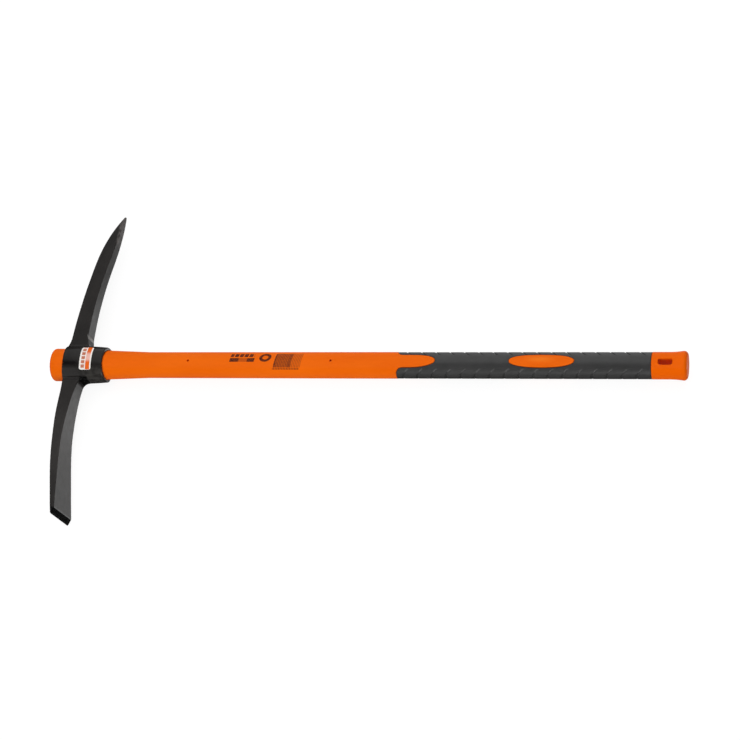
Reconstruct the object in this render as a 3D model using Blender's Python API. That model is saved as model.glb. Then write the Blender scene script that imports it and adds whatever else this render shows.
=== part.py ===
"""Digging pick with a steel head slipped over a fibreglass-cored handle, lying flat.

+X runs along the handle to its butt, +Y along the pick arm, +Z through the handle's thickness.
The origin is the middle of the flat face at the handle's head end. Lengths are in metres.
"""
import math

import bmesh
import bpy

GAP = 0.0003                    # between two pieces that touch

# Fineness of the curves
SIDES = 48                      # facets round every oval section
HOLE_SIDES = 12
CORNER_STEPS = 5                # facets in a rounded corner or edge
OUTLINE_STEPS = 10              # facets in a quarter of the window or the tongue's tip
GROOVE_STEPS = 4
EYE_STEPS = 8
ARM_STEPS = 10
LABEL_STEPS = 16

# Handle moulding: an oval bar that swells into a flare at its head end
HANDLE_LENGTH = 0.900
BODY_HALF_HEIGHT = 0.0185       # along Y
BODY_HALF_THICKNESS = 0.0156    # along Z
FLARE_HALF_HEIGHT = 0.0234
FLARE_HALF_THICKNESS = 0.0216
FLARE_STRAIGHT = 0.012          # full-size stretch at the head end
FLARE_LENGTH = 0.145            # from the head end to where the bar is plain
FLARE_EDGE_RADIUS = 0.0037

# Fibreglass rod inside the moulding
MOULDING_WALL = 0.0035          # plastic between the rod and the grip
CORE_COVER = 0.012              # plastic over the rod at the head end
LOCATING_HOLE_RADIUS = 0.0017   # left by the pins that centred the rod
LOCATING_HOLE_FIRST = 0.2048
LOCATING_HOLE_PITCH = 0.210
LOCATING_HOLES = 2

# Rubber grip with a front tongue and a window on each face
GRIP_LENGTH = 0.346
GRIP_THICKNESS = 0.0025
PAD_PROUD = 0.0002              # how far the moulding stands above the rubber
FACE_RAISE = 0.0013             # the face pattern sits this far above the centre line
TONGUE_LENGTH = 0.0538
TONGUE_TAPER = 0.030
TONGUE_HALF_HEIGHT = 0.0092
TONGUE_MOUTH_RADIUS = 0.0065
WINDOW_TO_BUTT = 0.1945
WINDOW_HALF_LENGTH = 0.0441
WINDOW_HALF_HEIGHT = 0.0093
OUTLINE_POWER = 2.3             # 2 is an ellipse, more is squarer
GROOVE_PITCH = 0.01983
GROOVE_FIRST = 0.0198           # from the front of the grip
GROOVE_STAGGER = 0.0040         # the lower row sits this much nearer the head
GROOVE_DEPTH = 0.0007
GROOVE_WIDTH = 0.0012
GROOVE_SLANT = 0.80             # travel along the handle for each unit down the flank
GROOVE_BAND = 0.0099            # half height of the smooth band on each face

# End cap with its plug and hang slot
CAP_LENGTH = 0.048
CAP_SWELL = 0.0012
CAP_SWELL_LENGTH = 0.018
CAP_EDGE_RADIUS = 0.0055
PLUG_LENGTH = 0.030
SLOT_TO_BUTT = 0.0298
SLOT_HALF_LENGTH = 0.0094
SLOT_HALF_HEIGHT = 0.0042
SLOT_UPPER_RADIUS = 0.0016
SLOT_LOWER_RADIUS = 0.0038

# Eye of the head
EYE_SETBACK = 0.022             # handle standing out of the eye
EYE_LENGTH = 0.058
EYE_WALL_FRONT = 0.0024
EYE_WALL_MIDDLE = 0.0041
EYE_WALL_BACK = 0.0035
EYE_RIM_ROUND = 0.0012

# Both arms leave the eye near its head end
ARM_CHAMFER = 0.0013
CHAMFER_DEPTH_SHARE = 0.3       # most of a thin arm's depth that a chamfer takes
CHAMFER_WIDTH_SHARE = 0.6       # most of its half width
ARM_MIDDLE = 0.0148             # from the head side of the eye to the pick arm's middle

# Pick arm, with depth along X and width along Z
PICK_REACH = 0.2285             # handle axis to the point
PICK_CURVE_RADIUS = 0.661
PICK_ROOT_DEPTH = 0.0246
PICK_SHANK_DEPTH = 0.0193
PICK_NECK_LENGTH = 0.100
PICK_ROOT_WIDTH = 0.0232
PICK_SHANK_WIDTH = 0.0190
PICK_POINT_LENGTH = 0.084
PICK_POINT_POWER = 2.3
PICK_TIP_SIZE = 0.0022

# Chisel arm, curved at first and then straight
CHISEL_REACH = 0.2284
CHISEL_BOW = 0.0094             # how far it bows ahead of the pick arm's middle
CHISEL_BOW_REACH = 0.093
CHISEL_CURVE_RADIUS = 0.476
CHISEL_STRAIGHT_LENGTH = 0.063
CHISEL_ROOT_DEPTH = 0.0203
CHISEL_BEVEL_DEPTH = 0.0056     # where the sharpening bevel starts
CHISEL_BEVEL_LENGTH = 0.0088
CHISEL_EDGE_DEPTH = 0.0010
CHISEL_CORNER_RADIUS = 0.0038
CHISEL_ROOT_WIDTH = 0.0235
CHISEL_EDGE_WIDTH = 0.0650
CHISEL_PARALLEL_LENGTH = 0.012
CHISEL_FILLET = 0.010           # behind the root

# Sticker wrapped round the eye
LABEL_START = 0.0248            # from the head side of the eye
LABEL_WIDTH = 0.0170
LABEL_LOW_ANGLE = -35.0         # degrees round the eye from +Z
LABEL_HIGH_ANGLE = 53.0
LABEL_THICKNESS = 0.0003

# Places that follow from the sizes above
SEAM_X = HANDLE_LENGTH - CAP_LENGTH
GRIP_X = SEAM_X - GRIP_LENGTH
CORE_END_X = SEAM_X - PLUG_LENGTH - GAP
EYE_X = EYE_SETBACK
EYE_BACK_X = EYE_SETBACK + EYE_LENGTH
ARM_X = EYE_X + ARM_MIDDLE
REACH_OUT = 0.060               # how far cutters pass beyond the handle's axis

MATERIALS = {
    "forged_steel": ((0.026, 0.024, 0.023), 0.55, 0.35),
    "fibreglass": ((0.62, 0.58, 0.42), 0.45, 0.0),
    "orange_plastic": ((0.84, 0.13, 0.008), 0.42, 0.0),
    "cap_plastic": ((0.86, 0.11, 0.003), 0.38, 0.0),
    "grip_rubber": ((0.055, 0.054, 0.052), 0.75, 0.0),
    "label_film": ((0.88, 0.82, 0.78), 0.35, 0.0),
}


def clear_scene():
    for old in list(bpy.data.objects):
        bpy.data.objects.remove(old, do_unlink=True)


def material(name):
    colour, roughness, metallic = MATERIALS[name]
    made = bpy.data.materials.get(name) or bpy.data.materials.new(name)
    made.use_nodes = True
    made.diffuse_color = (*colour, 1.0)
    shader = made.node_tree.nodes["Principled BSDF"]
    shader.inputs["Base Color"].default_value = (*colour, 1.0)
    shader.inputs["Roughness"].default_value = roughness
    shader.inputs["Metallic"].default_value = metallic
    return made


def add_object(name, bm, finish=None):
    """Turn a bmesh into an object; one without a finish is a cutter and stays out of the model."""
    bmesh.ops.recalc_face_normals(bm, faces=bm.faces)
    mesh = bpy.data.meshes.new(name)
    bm.to_mesh(mesh)
    bm.free()
    made = bpy.data.objects.new(name, mesh)
    bpy.context.scene.collection.objects.link(made)
    if finish:
        mesh.materials.append(material(finish))
        mesh.shade_smooth()
        mesh.set_sharp_from_angle(angle=math.radians(35))
    else:
        made.hide_render = True
        made.display_type = "WIRE"
    return made


def cut(target, cutter, operation="DIFFERENCE"):
    step = target.modifiers.new(cutter.name, "BOOLEAN")
    step.operation = operation
    step.solver = "EXACT"
    step.object = cutter


def skin(bm, rings, closed=False):
    """Join rings of equal count into walls, and close the two ends or run the last ring to the first."""
    rows = [[bm.verts.new(point) for point in ring] for ring in rings]
    pairs = list(zip(rows, rows[1:]))
    if closed:
        pairs.append((rows[-1], rows[0]))
    for near, far in pairs:
        for i in range(len(near)):
            j = (i + 1) % len(near)
            bm.faces.new((near[i], near[j], far[j], far[i]))
    if not closed:
        bm.faces.new(rows[0])
        bm.faces.new(rows[-1])


def oval_ring(x, half_height, half_thickness):
    ring = []
    for i in range(SIDES):
        angle = 2 * math.pi * i / SIDES
        ring.append((x, half_height * math.sin(angle), half_thickness * math.cos(angle)))
    return ring


def turned(name, profile, finish=None, closed=False):
    """Solid whose sections across X are ovals; the profile lists x, half height, half thickness."""
    bm = bmesh.new()
    skin(bm, [oval_ring(*point) for point in profile], closed)
    return add_object(name, bm, finish)


def prism(name, outline):
    """Cutter that runs right through the handle along Z."""
    bm = bmesh.new()
    skin(bm, [[(x, y, z) for x, y in outline] for z in (-REACH_OUT, REACH_OUT)])
    return add_object(name, bm)


def arc(centre_x, centre_y, radius, start, end, steps):
    """Points on an arc, with angles in degrees from +X towards +Y."""
    points = []
    for i in range(steps + 1):
        angle = math.radians(start + (end - start) * i / steps)
        points.append((centre_x + radius * math.cos(angle), centre_y + radius * math.sin(angle)))
    return points


def circle(centre_x, centre_y, radius):
    return arc(centre_x, centre_y, radius, 0, 360, HOLE_SIDES)[:-1]


def superellipse_quarter(half_length, half_height):
    """First quarter of a squared-off ellipse, from the end of its length to the top of its height."""
    points = []
    for i in range(OUTLINE_STEPS + 1):
        angle = math.pi / 2 * i / OUTLINE_STEPS
        x = half_length * math.cos(angle) ** (2 / OUTLINE_POWER)
        y = half_height * math.sin(angle) ** (2 / OUTLINE_POWER)
        points.append((x, y))
    return points


def flare_share(x):
    """1 where the handle has its full flare, 0 where it is plain."""
    return min(1.0, max(0.0, (FLARE_LENGTH - x) / (FLARE_LENGTH - FLARE_STRAIGHT)))


def body_section(x):
    share = flare_share(x)
    height = BODY_HALF_HEIGHT + (FLARE_HALF_HEIGHT - BODY_HALF_HEIGHT) * share
    thickness = BODY_HALF_THICKNESS + (FLARE_HALF_THICKNESS - BODY_HALF_THICKNESS) * share
    return height, thickness


def grown(x, section, extra):
    return x, section[0] + extra, section[1] + extra


def grip_section(depth):
    """Half sizes of the grip at a depth below its outer surface."""
    sink = PAD_PROUD + depth
    return BODY_HALF_HEIGHT - sink, BODY_HALF_THICKNESS - sink


def core_section(extra=0.0):
    sink = PAD_PROUD + GRIP_THICKNESS + MOULDING_WALL
    return BODY_HALF_HEIGHT - sink + extra, BODY_HALF_THICKNESS - sink + extra


def window_outline(inset):
    centre = HANDLE_LENGTH - WINDOW_TO_BUTT
    quarter = superellipse_quarter(WINDOW_HALF_LENGTH - inset, WINDOW_HALF_HEIGHT - inset)
    upper = quarter + [(-x, y) for x, y in reversed(quarter[:-1])]
    lower = [(-x, -y) for x, y in upper[1:-1]]
    return [(centre + x, FACE_RAISE + y) for x, y in upper + lower]


def tongue_outline(inset):
    """Opening from ahead of the grip, past its rounded front corners, to the tongue's tip."""
    mouth = TONGUE_MOUTH_RADIUS + inset
    half = TONGUE_HALF_HEIGHT - inset
    taper_x = GRIP_X + TONGUE_LENGTH - TONGUE_TAPER
    corner = arc(GRIP_X - GAP + TONGUE_MOUTH_RADIUS, half + mouth, mouth, 180, 270, CORNER_STEPS)
    tip = superellipse_quarter(TONGUE_TAPER - inset, half)
    upper = [(taper_x + x, y) for x, y in tip] + list(reversed(corner))
    upper.append((GRIP_X - REACH_OUT, half + mouth))
    lower = [(x, -y) for x, y in reversed(upper[1:])]
    return [(x, FACE_RAISE + y) for x, y in upper + lower]


def sleeve(name, gap, outer_extra, finish=None):
    """The grip itself, or with a gap the room that it takes in the moulding."""
    start = GRIP_X - gap
    end = SEAM_X - GAP + (REACH_OUT if gap else 0.0)
    outer = grown(start, grip_section(0.0), outer_extra)
    inner = grown(start, grip_section(GRIP_THICKNESS), -gap)
    made = turned(name, [outer, (end, *outer[1:]), (end, *inner[1:]), inner], finish, closed=True)
    cut(made, prism(name + "_window", window_outline(gap)))
    cut(made, prism(name + "_tongue", tongue_outline(gap)))
    return made


def groove_bar(bm, x, side, face):
    """One slanted V bar that grazes a flank of the grip from the smooth band to the centre plane.

    It stands as far above the rubber as it cuts in, so its top is twice as wide as the groove.
    """
    height, thickness = grip_section(0.0)
    first = math.asin(min(1.0, (GROOVE_BAND + side * FACE_RAISE) / height))
    rings = []
    run = 0.0
    last = None
    for i in range(GROOVE_STEPS + 1):
        angle = first + (math.pi / 2 - first) * i / GROOVE_STEPS
        y = height * math.sin(angle)
        z = thickness * math.cos(angle)
        if last:
            run += math.hypot(y - last[0], z - last[1])
        last = (y, z)
        slope = math.atan2(z / thickness ** 2, y / height ** 2)
        out_y = math.cos(slope)
        out_z = math.sin(slope)
        centre = x - GROOVE_SLANT * run
        ring = []
        for step in (-1, 0, 1):
            lift = GROOVE_DEPTH if step else -GROOVE_DEPTH
            ring.append((centre + step * GROOVE_WIDTH, side * (y + out_y * lift), face * (z + out_z * lift)))
        rings.append(ring)
    skin(bm, rings)


def make_grip():
    grip = sleeve("grip_sleeve", 0.0, 0.0, "grip_rubber")
    grooves = int((GRIP_LENGTH - GROOVE_FIRST) / GROOVE_PITCH) + 1
    bm = bmesh.new()
    for i in range(grooves):
        upper_x = GRIP_X + GROOVE_FIRST + GROOVE_PITCH * i
        for side, x in ((1, upper_x), (-1, upper_x - GROOVE_STAGGER)):
            for face in (1, -1):
                groove_bar(bm, x, side, face)
    cut(grip, add_object("grip_grooves", bm))


def make_body():
    """Moulding over the core: flared at the head end, carved to take the grip."""
    height, thickness = body_section(0.0)
    edge = FLARE_EDGE_RADIUS
    profile = []
    for x, lift in arc(edge, -edge, edge, 180, 90, CORNER_STEPS):
        profile.append((x, height + lift, thickness + lift))
    turns = (FLARE_STRAIGHT, EYE_BACK_X, FLARE_LENGTH)
    profile += [(x, *body_section(x)) for x in sorted(set(turns)) if x > edge]
    profile.append((SEAM_X - GAP, *body_section(SEAM_X)))
    body = turned("handle_body", profile, "orange_plastic")
    cut(body, sleeve("grip_room", GAP, REACH_OUT))
    bore = core_section(GAP)
    cut(body, turned("core_bore", [(CORE_COVER - GAP, *bore), (SEAM_X + REACH_OUT, *bore)]))
    bm = bmesh.new()
    for i in range(LOCATING_HOLES):
        hole = circle(LOCATING_HOLE_FIRST + LOCATING_HOLE_PITCH * i, FACE_RAISE, LOCATING_HOLE_RADIUS)
        skin(bm, [[(x, y, z) for x, y in hole] for z in (-REACH_OUT, REACH_OUT)])
    cut(body, add_object("locating_pins", bm))


def make_core():
    turned("handle_core", [(CORE_COVER, *core_section()), (CORE_END_X, *core_section())], "fibreglass")


def slot_outline():
    """Hang slot with tight upper corners and rounder lower ones."""
    x = SLOT_HALF_LENGTH
    y = SLOT_HALF_HEIGHT
    small = SLOT_UPPER_RADIUS
    large = SLOT_LOWER_RADIUS
    points = arc(x - small, y - small, small, 0, 90, CORNER_STEPS)
    points += arc(small - x, y - small, small, 90, 180, CORNER_STEPS)
    points += arc(large - x, large - y, large, 180, 270, CORNER_STEPS)
    points += arc(x - large, large - y, large, 270, 360, CORNER_STEPS)
    centre = HANDLE_LENGTH - SLOT_TO_BUTT
    return [(centre + px, py) for px, py in points]


def make_cap():
    """Cap with a plug that fills the moulding's open end."""
    plug = core_section()
    plain = (BODY_HALF_HEIGHT, BODY_HALF_THICKNESS)
    edge = CAP_EDGE_RADIUS
    profile = [(SEAM_X - PLUG_LENGTH, *plug), (SEAM_X, *plug), (SEAM_X, *plain)]
    start = HANDLE_LENGTH - edge - CAP_SWELL_LENGTH
    for i in range(CORNER_STEPS + 1):
        share = i / CORNER_STEPS
        profile.append(grown(start + CAP_SWELL_LENGTH * share, plain, CAP_SWELL * share ** 2))
    for x, lift in arc(HANDLE_LENGTH - edge, CAP_SWELL - edge, edge, 90, 0, CORNER_STEPS)[1:]:
        profile.append(grown(x, plain, lift))
    cap = turned("end_cap", profile, "cap_plastic")
    cut(cap, prism("hang_slot", slot_outline()))


def eye_wall(x):
    """Wall of the eye, thickest in its middle."""
    share = (x - EYE_X) / EYE_LENGTH
    ends = EYE_WALL_FRONT + (EYE_WALL_BACK - EYE_WALL_FRONT) * share
    middle = (EYE_WALL_FRONT + EYE_WALL_BACK) / 2
    return ends + (EYE_WALL_MIDDLE - middle) * 4 * share * (1 - share)


def eye_section(x):
    height, thickness = body_section(x)
    outward = GAP + eye_wall(x)
    return height + outward, thickness + outward


def make_eye():
    rim = EYE_RIM_ROUND
    profile = [grown(EYE_X, eye_section(EYE_X), -rim)]
    for i in range(EYE_STEPS + 1):
        x = EYE_X + rim + (EYE_LENGTH - 2 * rim) * i / EYE_STEPS
        profile.append((x, *eye_section(x)))
    profile.append(grown(EYE_BACK_X, eye_section(EYE_BACK_X), -rim))
    return turned("pick_head", profile, "forged_steel")


def fillet(distance, radius):
    """Extra size at a distance from the surface that a fillet of this radius runs into."""
    if distance >= radius:
        return 0.0
    down = radius - max(0.0, distance)
    return radius - math.sqrt(radius ** 2 - down ** 2)


def root_reach(root_width):
    """Reach at which the edges of an arm of this width meet the eye."""
    height, thickness = eye_section(ARM_X)
    share = min(1.0, root_width / 2 / thickness)
    return height * math.sqrt(1 - share ** 2)


def arm_ring(reach, direction, front, back, half_width):
    """Rectangle with cut corners, across the arm at a reach from the handle's axis."""
    corner = min(ARM_CHAMFER, CHAMFER_DEPTH_SHARE * (back - front), CHAMFER_WIDTH_SHARE * half_width)
    y = direction * reach
    return [
        (front, y, corner - half_width), (front, y, half_width - corner),
        (front + corner, y, half_width), (back - corner, y, half_width),
        (back, y, half_width - corner), (back, y, corner - half_width),
        (back - corner, y, -half_width), (front + corner, y, -half_width),
    ]


def spread_out(first, last, steps):
    return [first + (last - first) * i / steps for i in range(steps + 1)]


def pick_ring(reach):
    root = root_reach(PICK_ROOT_WIDTH)
    away = max(0.0, reach - root)
    middle = ARM_X + reach ** 2 / (2 * PICK_CURVE_RADIUS)
    neck = max(0.0, 1 - away / PICK_NECK_LENGTH)
    depth = PICK_SHANK_DEPTH + (PICK_ROOT_DEPTH - PICK_SHANK_DEPTH) * neck ** 2
    share = min(1.0, away / (PICK_REACH - PICK_POINT_LENGTH - root))
    width = PICK_ROOT_WIDTH + (PICK_SHANK_WIDTH - PICK_ROOT_WIDTH) * share
    left = max(0.0, min(1.0, (PICK_REACH - reach) / PICK_POINT_LENGTH))
    sharpening = 1 - (1 - left) ** PICK_POINT_POWER
    depth = max(PICK_TIP_SIZE, depth * sharpening)
    width = max(PICK_TIP_SIZE, width * sharpening)
    return arm_ring(reach, 1, middle - depth / 2, middle + depth / 2, width / 2)


def chisel_middle(reach):
    straight_from = CHISEL_REACH - CHISEL_STRAIGHT_LENGTH
    bent = min(reach, straight_from) - CHISEL_BOW_REACH
    middle = ARM_X - CHISEL_BOW + bent ** 2 / (2 * CHISEL_CURVE_RADIUS)
    return middle + max(0.0, reach - straight_from) * bent / CHISEL_CURVE_RADIUS


def chisel_ring(reach):
    root = root_reach(CHISEL_ROOT_WIDTH)
    away = max(0.0, reach - root)
    bevel_reach = CHISEL_REACH - CHISEL_BEVEL_LENGTH
    depth = CHISEL_ROOT_DEPTH + (CHISEL_BEVEL_DEPTH - CHISEL_ROOT_DEPTH) * away / (bevel_reach - root)
    spread = min(1.0, away / (CHISEL_REACH - CHISEL_PARALLEL_LENGTH - root))
    width = CHISEL_ROOT_WIDTH + (CHISEL_EDGE_WIDTH - CHISEL_ROOT_WIDTH) * spread
    middle = chisel_middle(reach)
    front = middle - depth / 2
    back = middle + depth / 2 + fillet(away, CHISEL_FILLET)
    bevel = max(0.0, reach - bevel_reach) / CHISEL_BEVEL_LENGTH
    back -= (back - front - CHISEL_EDGE_DEPTH) * bevel
    return arm_ring(reach, -1, front, back, width / 2 - fillet(CHISEL_REACH - reach, CHISEL_CORNER_RADIUS))


def make_arm(name, ring_at, places):
    """Loft from inside the eye's wall out to the arm's end, with a ring at each of these reaches."""
    places.add(body_section(ARM_X)[0] / 2)
    bm = bmesh.new()
    skin(bm, [ring_at(place) for place in sorted(places)])
    return add_object(name, bm)


def make_pick_arm():
    root = root_reach(PICK_ROOT_WIDTH)
    point = PICK_REACH - PICK_POINT_LENGTH
    last_step = PICK_REACH - PICK_POINT_LENGTH / CORNER_STEPS
    places = set(spread_out(root, point, ARM_STEPS))
    places.update(spread_out(point, last_step, CORNER_STEPS - 1))
    places.update(spread_out(last_step, PICK_REACH, CORNER_STEPS))
    return make_arm("pick_arm", pick_ring, places)


def make_chisel_arm():
    root = root_reach(CHISEL_ROOT_WIDTH)
    shank = root + CHISEL_FILLET
    corner = CHISEL_REACH - CHISEL_CORNER_RADIUS
    places = set(spread_out(root, shank, CORNER_STEPS))
    places.update(spread_out(shank, CHISEL_REACH - CHISEL_BEVEL_LENGTH, ARM_STEPS))
    places.update(spread_out(corner, CHISEL_REACH, CORNER_STEPS))
    return make_arm("chisel_arm", chisel_ring, places)


def make_head():
    head = make_eye()
    cut(head, make_pick_arm(), "UNION")
    cut(head, make_chisel_arm(), "UNION")
    turns = (-GAP, FLARE_STRAIGHT, EYE_BACK_X, FLARE_LENGTH, EYE_BACK_X + FLARE_LENGTH)
    bore = [grown(x, body_section(x), GAP) for x in sorted(set(turns))]
    cut(head, turned("eye_bore", bore))


def make_label():
    """Thin film that follows the eye's curve."""
    start = EYE_X + LABEL_START
    inner = [(x, GAP) for x in spread_out(start, start + LABEL_WIDTH, CORNER_STEPS)]
    outer = [(x, GAP + LABEL_THICKNESS) for x, depth in reversed(inner)]
    bm = bmesh.new()
    rings = []
    for degrees in spread_out(LABEL_LOW_ANGLE, LABEL_HIGH_ANGLE, LABEL_STEPS):
        angle = math.radians(degrees)
        ring = []
        for x, depth in inner + outer:
            height, thickness = eye_section(x)
            ring.append((x, (height + depth) * math.sin(angle), (thickness + depth) * math.cos(angle)))
        rings.append(ring)
    skin(bm, rings)
    add_object("head_label", bm, "label_film")


def main():
    clear_scene()
    make_core()
    make_body()
    make_grip()
    make_cap()
    make_head()
    make_label()


main()
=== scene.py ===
"""Looks of the digging pick: fine meshes, finishes, floor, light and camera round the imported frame.

+X runs along the handle to its butt, +Y along the pick arm, +Z through the handle's thickness.
Lengths are in metres.
"""
import math

import bmesh
import bpy
from mathutils import Matrix, Vector


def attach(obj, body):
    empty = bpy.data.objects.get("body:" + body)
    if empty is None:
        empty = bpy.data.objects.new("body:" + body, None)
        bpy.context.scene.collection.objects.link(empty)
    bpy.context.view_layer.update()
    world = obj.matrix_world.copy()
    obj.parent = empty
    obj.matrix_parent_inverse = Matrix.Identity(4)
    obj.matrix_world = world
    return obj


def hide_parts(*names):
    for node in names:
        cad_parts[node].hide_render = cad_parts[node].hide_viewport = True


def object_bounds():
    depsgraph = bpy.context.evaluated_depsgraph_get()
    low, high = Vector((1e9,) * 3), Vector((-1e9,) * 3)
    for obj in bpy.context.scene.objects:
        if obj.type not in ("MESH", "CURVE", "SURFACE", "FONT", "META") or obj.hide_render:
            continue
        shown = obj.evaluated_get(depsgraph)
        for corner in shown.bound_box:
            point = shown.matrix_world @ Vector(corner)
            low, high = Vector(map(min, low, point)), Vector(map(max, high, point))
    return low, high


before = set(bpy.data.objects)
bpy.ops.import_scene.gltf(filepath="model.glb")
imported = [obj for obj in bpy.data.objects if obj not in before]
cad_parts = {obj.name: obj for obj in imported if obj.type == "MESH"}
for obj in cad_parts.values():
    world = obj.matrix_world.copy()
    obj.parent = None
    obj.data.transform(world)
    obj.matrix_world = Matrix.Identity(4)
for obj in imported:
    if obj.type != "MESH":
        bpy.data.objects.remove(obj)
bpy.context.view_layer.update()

GAP = 0.0003                    # room between pieces that are fitted to each other

# Handle moulding
HANDLE_LENGTH = 0.900
BODY_HALF_HEIGHT = 0.0185       # along Y
BODY_HALF_THICKNESS = 0.0156    # along Z
FLARE_HALF_HEIGHT = 0.0234
FLARE_HALF_THICKNESS = 0.0216
FLARE_STRAIGHT = 0.012
FLARE_LENGTH = 0.145
FLARE_EDGE_RADIUS = 0.0037
CORE_HALF_HEIGHT = 0.0123
CORE_HALF_THICKNESS = 0.0094
CORE_COVER = 0.012
HOLE_RADIUS = 0.0017
HOLE_PLACES = (0.2061, 0.4132)

# Rubber grip
GRIP_LENGTH = 0.346
GRIP_THICKNESS = 0.0025
GRIP_EDGE_ROUND = 0.0005
PAD_PROUD = 0.0002              # how far the handle's skin stands over the rubber
PAD_CROWN = 0.0007
OPENING_EASE = 0.0006           # how much wider the rubber's openings are than the pads' gap
FACE_RAISE = 0.0013             # how far the face's features sit off the middle, towards the pick arm
TONGUE_LENGTH = 0.0538
TONGUE_TAPER = 0.030
TONGUE_HALF_HEIGHT = 0.0092
TONGUE_LOWER_TAPER = 0.036
TONGUE_LOWER_POWER = 2.0
TONGUE_MOUTH_RADIUS = 0.0085
WINDOW_X = 0.7055
WINDOW_HALF_LENGTH = 0.0441
WINDOW_HALF_HEIGHT = 0.0093
OUTLINE_POWER = 2.3             # fullness of the openings' ends; 2 is an ellipse
GROOVE_PITCH = 0.01983
GROOVE_FIRST = 0.0210
GROOVE_STAGGER = 0.0034         # how far a lower groove lies ahead of its upper one
GROOVE_DEPTH = 0.0010
GROOVE_END_DEPTH_SHARE = 0.55   # depth near the face's end, as a share of the flank's
GROOVE_TIP_SHARE = 0.2          # depth right at the end, which deepens at this rate along the groove
GROOVE_TIP_RATE = 8
GROOVE_BUTT_WALL = 0.0024       # length of the wall that faces the butt
GROOVE_HEAD_WALL = 0.0010
GROOVE_SLANT = 1.00             # how far a groove runs towards the head for each unit round the grip
GROOVE_BEND = 0.45              # how much straighter a groove runs on the flank than on the face
GROOVE_BAND = 0.0095            # how far from the handle's middle the grooves begin
GROOVE_COUNT = 17

# Print on the near face: blocks give first and last place along the handle, lowest and highest on the face
PRINT_LEAN = 0.18               # how far the print leans for each unit up the face
PRINT_SIDE = 0.002              # the print lies on the skin above this
PRINT_DASHES = (0.2669, 0.3014, 0.0066, 0.0120)
PRINT_DASH_PITCH = 0.0070
PRINT_DASH_SHARE = 0.78
PRINT_BAR = (0.2672, 0.3030, -0.0008, 0.0048)
PRINT_BAR_FADED = (0.2800, 0.2925, 0.001)
PRINT_BAR_FADE = 0.55
PRINT_STRIPES = (0.3328, 0.3712, -0.0084, 0.0124)
PRINT_STRIPE_PITCH = 0.0023
PRINT_STRIPE_INK = (0.12, 0.62)
PRINT_STRIPES_FILLED = (0.3325, 0.3570, 0.002)
PRINT_STRIPES_FILL = 0.30
PRINT_THICK_STRIPES = ((0.3326, 0.3350, 0.95), (0.3530, 0.3575, 0.72))
PRINT_TICKS = (0.3318, 0.3705, -0.0112, -0.0088)
PRINT_TICK_INK = (0.1, 0.9)
PRINT_RING_X = 0.3180
PRINT_RING_Y = 0.0058
PRINT_RING_HALF_LENGTH = 0.0088
PRINT_RING_HALF_HEIGHT = 0.0066
PRINT_RING_BAND = (0.22, 0.95, 0.10)

# End cap
CAP_LENGTH = 0.048
CAP_SWELL = 0.0015
CAP_SWELL_LENGTH = 0.018
CAP_EDGE_RADIUS = 0.0055
CAP_RIM_ROUND = 0.0006
CAP_CROWN = 0.0010              # how far the end face is domed
CAP_CROWN_INNERMOST = 0.1       # the dome's last ring, as a share of its rim
PLUG_LENGTH = 0.030
SLOT_X = 0.8702
SLOT_HALF_LENGTH = 0.0094
SLOT_HALF_HEIGHT = 0.0042
SLOT_UPPER_RADIUS = 0.0016
SLOT_LOWER_RADIUS = 0.0038
SLOT_ROUND = 0.0014

# Eye of the head
EYE_X = 0.0209
EYE_LENGTH = 0.0609
EYE_POWER = 2.5                 # fullness of the eye's section; 2 is an ellipse
EYE_BACK_WAVE = 0.0022          # how far the back rim falls back on the two faces
EYE_FRONT_WAVE = 0.0024         # how far the front rim reaches forward at the chisel
EYE_SIDES = 192
EYE_WALL_FRONT = 0.0024
EYE_WALL_MIDDLE = 0.0036
EYE_WALL_BACK = 0.0030
EYE_RIM_ROUND = 0.0012

# Arms; reaches are counted from the handle's axis, depths run along the handle and widths through it
ARM_X = 0.0368
ARM_CHAMFER = 0.0009
CHAMFER_DEPTH_SHARE = 0.3
CHAMFER_WIDTH_SHARE = 0.6
PICK_REACH = 0.2285
PICK_CURVE_RADIUS = 0.661
PICK_X = 0.0364
PICK_ROOT_DEPTH = 0.0251
PICK_SHANK_DEPTH = 0.0198
PICK_FLARE = 0.0028
PICK_FLARE_LENGTH = 0.013
PICK_BACK_FLARE = 0.0036
PICK_BACK_FLARE_LENGTH = 0.020
PICK_NECK_LENGTH = 0.125
PICK_ROOT_WIDTH = 0.0248
PICK_SHANK_WIDTH = 0.0198
PICK_POINT_LENGTH = 0.084
PICK_POINT_POWER = 2.4
PICK_TIP_SHARE = 0.15
CHISEL_REACH = 0.2284
CHISEL_BOW = 0.0094
CHISEL_BOW_REACH = 0.093
CHISEL_CURVE_RADIUS = 0.460
CHISEL_STRAIGHT_LENGTH = 0.063
CHISEL_ROOT_DEPTH = 0.0203
CHISEL_BEVEL_DEPTH = 0.0062
CHISEL_BEVEL_LENGTH = 0.0088
CHISEL_EDGE_DEPTH = 0.0010
CHISEL_CORNER_RADIUS = 0.0026
CHISEL_ROOT_WIDTH = 0.0235
CHISEL_EDGE_WIDTH = 0.0650
CHISEL_PARALLEL_LENGTH = 0.012
CHISEL_FILLET = 0.008
CHISEL_FLARE = 0.0030
CHISEL_FLARE_LENGTH = 0.034
# How far the chisel's faces are moved towards the butt from the plain arm: reach and distance in each row
CHISEL_FRONT_EASE = ((0.025, 0.0), (0.060, -0.00045), (0.118, 0.00045), (0.175, 0.00015), (0.217, 0.0004))
CHISEL_BACK_EASE = ((0.025, 0.0), (0.052, 0.0006), (0.105, 0.0003), (0.160, 0.0011), (0.199, 0.0006))

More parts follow.
